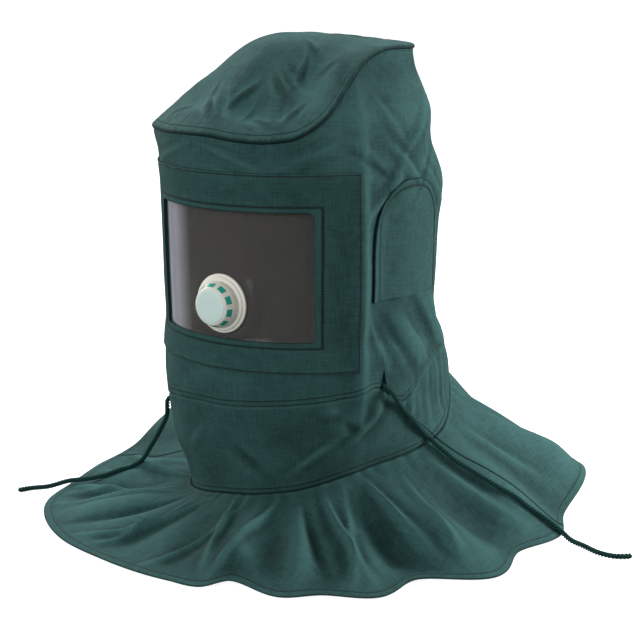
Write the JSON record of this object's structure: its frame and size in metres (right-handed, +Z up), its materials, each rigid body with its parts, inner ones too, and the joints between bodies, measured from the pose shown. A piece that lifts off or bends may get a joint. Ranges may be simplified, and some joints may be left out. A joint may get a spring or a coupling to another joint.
{
  "type": "sandblasting hood",
  "caption": "Canvas hood with a curved film window, a round breathing valve, gathered neck bands with a drawcord, and a shoulder cape, in the shape it has when worn.",
  "frame": {"origin": "the middle of the crown's underside, where the hood rests on a head", "axes": "+Z up, the window faces -Y, +X is the side of the longer cord"},
  "size_m": [0.6487, 0.5599, 0.5],
  "materials": {
    "crown_panel": "dark green cotton canvas",
    "hood_body": "dark green cotton canvas",
    "window_frame": "dark green cotton canvas",
    "visor": "clear flexible film",
    "valve_flange": "satin off-white",
    "valve_membrane": "turquoise",
    "valve_cap": "satin off-white",
    "ear_flap_right": "dark green cotton canvas",
    "ear_flap_left": "dark green cotton canvas",
    "neck_band_front": "dark green cotton canvas",
    "neck_band_back": "dark green cotton canvas",
    "cape_front": "dark green cotton canvas",
    "cape_back": "dark green cotton canvas",
    "cord_right": "twisted dark green cord",
    "cord_tip_right": "twisted dark green cord",
    "cord_left": "twisted dark green cord",
    "cord_tip_left": "twisted dark green cord"
  },
  "bodies": {
    "root": {"crown_panel": "crown_panel", "hood_body": "hood_body", "window_frame": "window_frame", "visor": "visor", "valve_flange": "valve_flange", "valve_membrane": "valve_membrane", "valve_cap": "valve_cap", "ear_flap_right": "ear_flap_right", "ear_flap_left": "ear_flap_left", "neck_band_front": "neck_band_front", "neck_band_back": "neck_band_back", "cape_front": "cape_front", "cape_back": "cape_back", "cord_right": "cord_right", "cord_tip_right": "cord_tip_right", "cord_left": "cord_left", "cord_tip_left": "cord_tip_left"}
  },
  "joints": []
}
